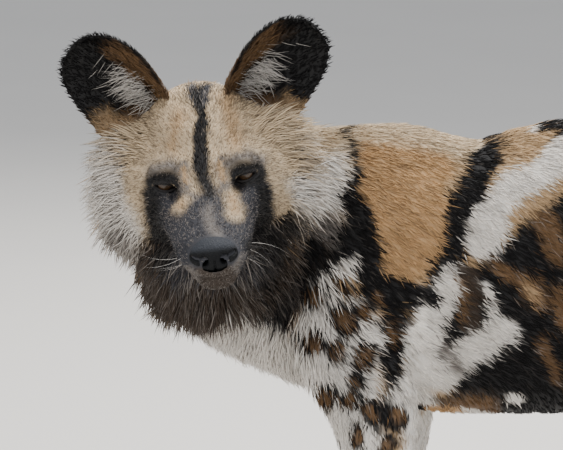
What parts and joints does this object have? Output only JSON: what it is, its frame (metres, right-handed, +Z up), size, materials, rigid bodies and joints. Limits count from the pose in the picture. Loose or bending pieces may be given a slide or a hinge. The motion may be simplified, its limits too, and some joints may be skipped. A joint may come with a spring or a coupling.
{
  "type": "african wild dog",
  "caption": "Life-size African wild dog standing and looking round to its left, with large round ears, a shaggy ruff, a blotched coat and a hanging brush of a tail.",
  "frame": {"origin": "on the floor, under the middle of the whole animal's bounding box", "axes": "+X towards the rump and tail, -Y towards the animal's left side, which it looks towards, +Z up"},
  "size_m": [0.9944, 0.4278, 0.771],
  "materials": {
    "coat_tan": "matte coat",
    "coat_cream": "matte coat",
    "coat_white": "matte coat",
    "coat_black": "matte coat",
    "coat_slate": "matte short coat",
    "nose_leather": "moist",
    "eye_amber": "wet gloss",
    "horn": "satin"
  },
  "bodies": {
    "root": {"head": "coat_cream", "lower_jaw": "coat_slate", "nose": "nose_leather", "eye_left": "eye_amber", "eye_right": "eye_amber", "ear_left": "coat_black", "ear_right": "coat_black", "neck": "coat_cream", "torso": "coat_tan", "tail": "coat_white", "foreleg_upper_left": "coat_tan", "foreleg_lower_left": "coat_white", "forepaw_left": "coat_white", "claw_foreleg_left_1": "horn", "claw_foreleg_left_2": "horn", "claw_foreleg_left_3": "horn", "claw_foreleg_left_4": "horn", "foreleg_upper_right": "coat_tan", "foreleg_lower_right": "coat_white", "forepaw_right": "coat_white", "claw_foreleg_right_1": "horn", "claw_foreleg_right_2": "horn", "claw_foreleg_right_3": "horn", "claw_foreleg_right_4": "horn", "hindleg_upper_left": "coat_tan", "hindleg_lower_left": "coat_white", "hindpaw_left": "coat_white", "claw_hindleg_left_1": "horn", "claw_hindleg_left_2": "horn", "claw_hindleg_left_3": "horn", "claw_hindleg_left_4": "horn", "hindleg_upper_right": "coat_tan", "hindleg_lower_right": "coat_white", "hindpaw_right": "coat_white", "claw_hindleg_right_1": "horn", "claw_hindleg_right_2": "horn", "claw_hindleg_right_3": "horn", "claw_hindleg_right_4": "horn"}
  },
  "joints": []
}
